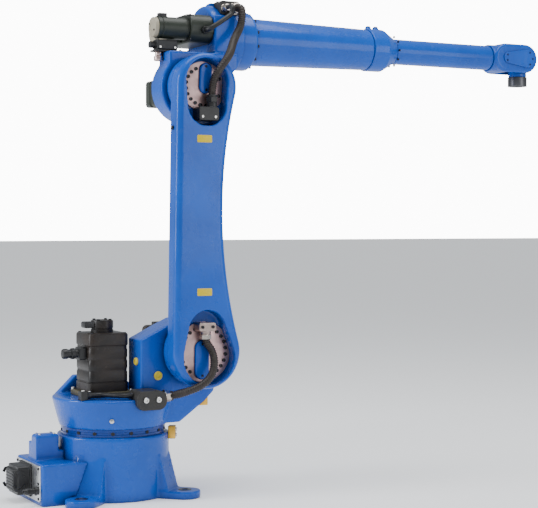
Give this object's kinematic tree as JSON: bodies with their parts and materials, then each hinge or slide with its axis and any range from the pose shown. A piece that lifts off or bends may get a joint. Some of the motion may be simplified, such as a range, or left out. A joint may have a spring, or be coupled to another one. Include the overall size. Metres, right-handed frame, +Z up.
{
  "type": "six-axis industrial robot arm",
  "caption": "Floor-bolted industrial robot arm: turning base, upper arm, elbow with wrist motors, long tapered forearm and a bending wrist with a round tool flange.",
  "frame": {"origin": "on the floor, at the centre of the base's bolt square, under the turret's axis", "axes": "+X the way the forearm points, +Z up along the turret's axis, the upper arm stands on the -Y side"},
  "size_m": [1.8, 0.435, 1.425],
  "materials": {
    "blue_paint": "gloss",
    "black_motor": "satin",
    "olive_motor": "satin",
    "motor_cap": "satin",
    "bare_metal": "machined",
    "aluminium_plate": "brushed",
    "brass": "machined",
    "dark_bracket": "satin",
    "black_plastic": "matte",
    "hose_rubber": "matte",
    "yellow_plug": "matte",
    "dark_steel": "blackened"
  },
  "bodies": {
    "base": {"base_casting": "blue_paint", "neck_ring": "dark_steel", "rotation_stop": "brass", "connector_box": "blue_paint", "connector_plate": "aluminium_plate", "power_connector": "black_plastic", "connector_levers": "aluminium_plate", "signal_connector": "black_plastic"},
    "turret": {"turret_casting": "blue_paint", "turn_motor_plate": "black_motor", "turn_motor": "black_motor", "turn_motor_encoder": "black_motor", "turn_motor_sockets": "black_plastic", "shoulder_motor": "black_motor", "shoulder_motor_encoder": "black_motor", "shoulder_stop": "brass", "grease_plugs": "yellow_plug", "hose_clamp": "dark_bracket", "cable_gland": "black_plastic", "turret_cable": "hose_rubber"},
    "upper_arm": {"upper_arm_casting": "blue_paint", "lower_reducer_flange": "bare_metal", "lower_hub_cover": "blue_paint", "lower_hose_bracket": "bare_metal", "upper_reducer_flange": "bare_metal", "upper_hub_cover": "blue_paint", "upper_cable_gland": "black_plastic", "lower_harness": "hose_rubber"},
    "elbow": {"elbow_casting": "blue_paint", "elbow_motor": "olive_motor", "elbow_motor_encoder": "motor_cap", "wrist_motor_block": "olive_motor", "wrist_motor_near": "olive_motor", "wrist_motors_short": "olive_motor", "wrist_motor_caps": "motor_cap", "connector_tray": "dark_bracket", "tray_connector": "black_plastic", "top_hose_bracket": "dark_bracket", "top_unions": "bare_metal", "motor_cable": "hose_rubber", "upper_harness": "hose_rubber"},
    "forearm": {"forearm_collar": "blue_paint", "forearm_tube": "blue_paint", "forearm_end": "blue_paint", "wrist_tube": "blue_paint", "wrist_yoke": "blue_paint", "wrist_side_covers": "blue_paint"},
    "wrist": {"wrist_body": "blue_paint"},
    "tool_flange": {"tool_flange": "dark_steel"}
  },
  "joints": [
    {"name": "turret_turn", "type": "hinge", "parent": "base", "child": "turret", "pos_m": [0, 0, 0.2], "axis": [0, 0, 1], "range_deg": [-170, 170]},
    {"name": "shoulder", "type": "hinge", "parent": "turret", "child": "upper_arm", "pos_m": [0.204, -0.117, 0.41], "axis": [0, 1, 0], "range_deg": [-70, 90], "deforming": ["lower_harness"]},
    {"name": "elbow", "type": "hinge", "parent": "upper_arm", "child": "elbow", "pos_m": [0.204, -0.117, 1.16], "axis": [0, -1, 0], "range_deg": [-75, 150], "deforming": ["upper_harness"]},
    {"name": "forearm_roll", "type": "hinge", "parent": "elbow", "child": "forearm", "pos_m": [0.376, 0, 1.317], "axis": [1, 0, 0], "range_deg": [-180, 180]},
    {"name": "wrist_bend", "type": "hinge", "parent": "forearm", "child": "wrist", "pos_m": [1.443, 0, 1.317], "axis": [0, -1, 0], "range_deg": [-30, 210]},
    {"name": "tool_turn", "type": "hinge", "parent": "wrist", "child": "tool_flange", "pos_m": [1.443, 0, 1.258], "axis": [0, 0, -1], "range_deg": [-360, 360]}
  ]
}
